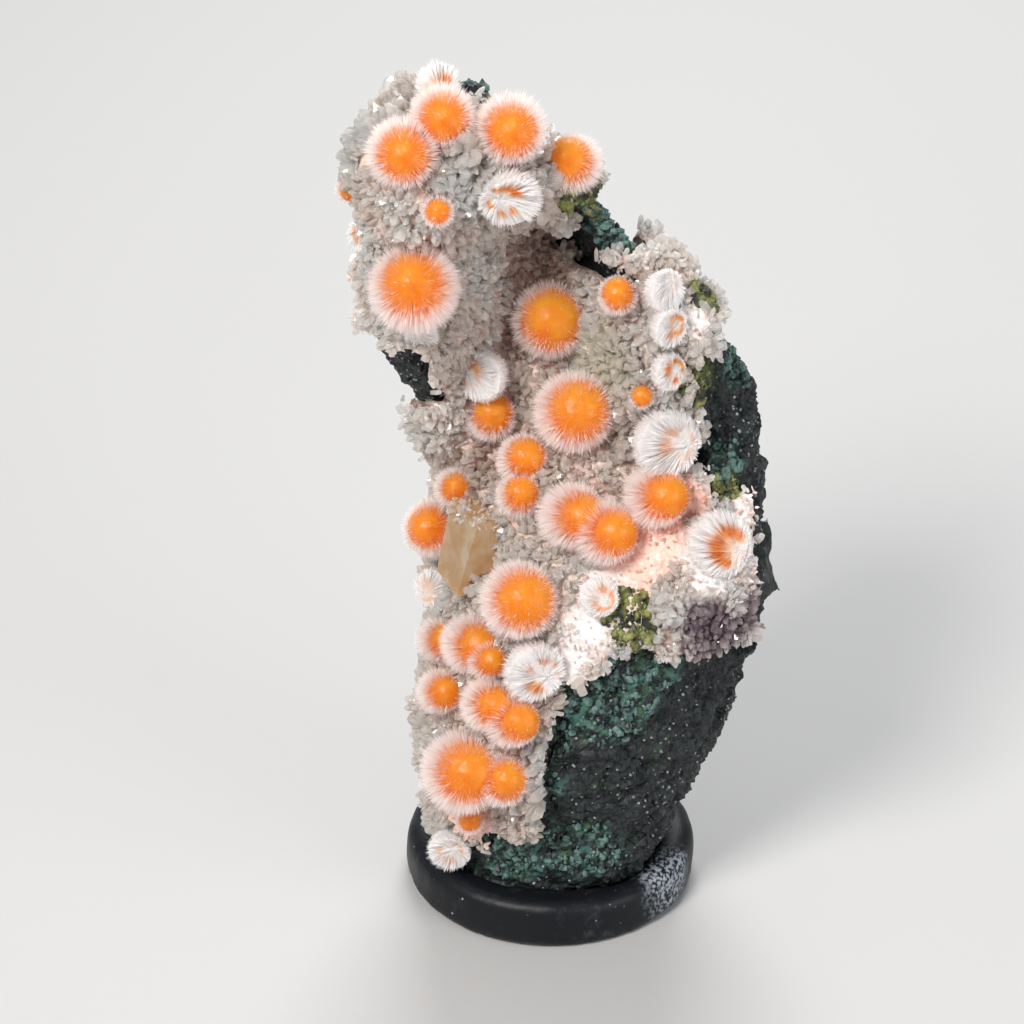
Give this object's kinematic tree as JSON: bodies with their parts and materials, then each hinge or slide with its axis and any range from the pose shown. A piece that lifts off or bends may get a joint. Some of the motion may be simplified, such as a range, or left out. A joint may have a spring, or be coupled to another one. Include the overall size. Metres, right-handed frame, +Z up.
{
  "type": "thomsonite specimen",
  "caption": "Standing mineral specimen: round orange thomsonite sprays with pale needle tips on druse in a basalt hollow, on a putty pad.",
  "frame": {"origin": "middle of the putty pad's flat underside", "axes": "+Z up through the standing specimen, -Y out of the side with the crystals, +X to the right when that side is looked at"},
  "size_m": [0.0513, 0.0421, 0.108],
  "materials": {
    "basalt": "rough broken basalt with green patches",
    "druse": "frosty, translucent, with glinting faces",
    "thomsonite": "orange core under pale silky needle tips",
    "calcite": "clear honey-coloured crystal",
    "putty": "matte black with dust"
  },
  "bodies": {
    "root": {"basalt_matrix": "basalt", "druse_crust": "druse", "calcite_crystal": "calcite", "putty_pad": "putty", "thomsonite_crown": "thomsonite", "thomsonite_crest": "thomsonite", "thomsonite_rim_right": "thomsonite", "thomsonite_burst": "thomsonite", "thomsonite_big_left": "thomsonite", "thomsonite_left_foot": "thomsonite", "thomsonite_left_lip": "thomsonite", "thomsonite_deep": "thomsonite", "thomsonite_heart": "thomsonite", "thomsonite_shade": "thomsonite", "thomsonite_pair": "thomsonite", "thomsonite_edge": "thomsonite", "thomsonite_edge_fuzz": "thomsonite", "thomsonite_edge_fan": "thomsonite", "thomsonite_trio": "thomsonite", "thomsonite_white_fan": "thomsonite", "thomsonite_shoulder": "thomsonite", "thomsonite_front": "thomsonite", "thomsonite_ring": "thomsonite", "thomsonite_column": "thomsonite", "thomsonite_column_side": "thomsonite", "thomsonite_column_foot": "thomsonite", "thomsonite_pile": "thomsonite", "thomsonite_low": "thomsonite", "thomsonite_low_edge": "thomsonite", "thomsonite_foot_fan": "thomsonite", "thomsonite_rim_fan": "thomsonite", "thomsonite_rim_top": "thomsonite", "thomsonite_rim_mid": "thomsonite", "thomsonite_far": "thomsonite", "thomsonite_bud": "thomsonite", "thomsonite_left_tip": "thomsonite", "thomsonite_left_chip": "thomsonite", "thomsonite_head_bud": "thomsonite", "thomsonite_ledge_fan": "thomsonite"}
  },
  "joints": []
}
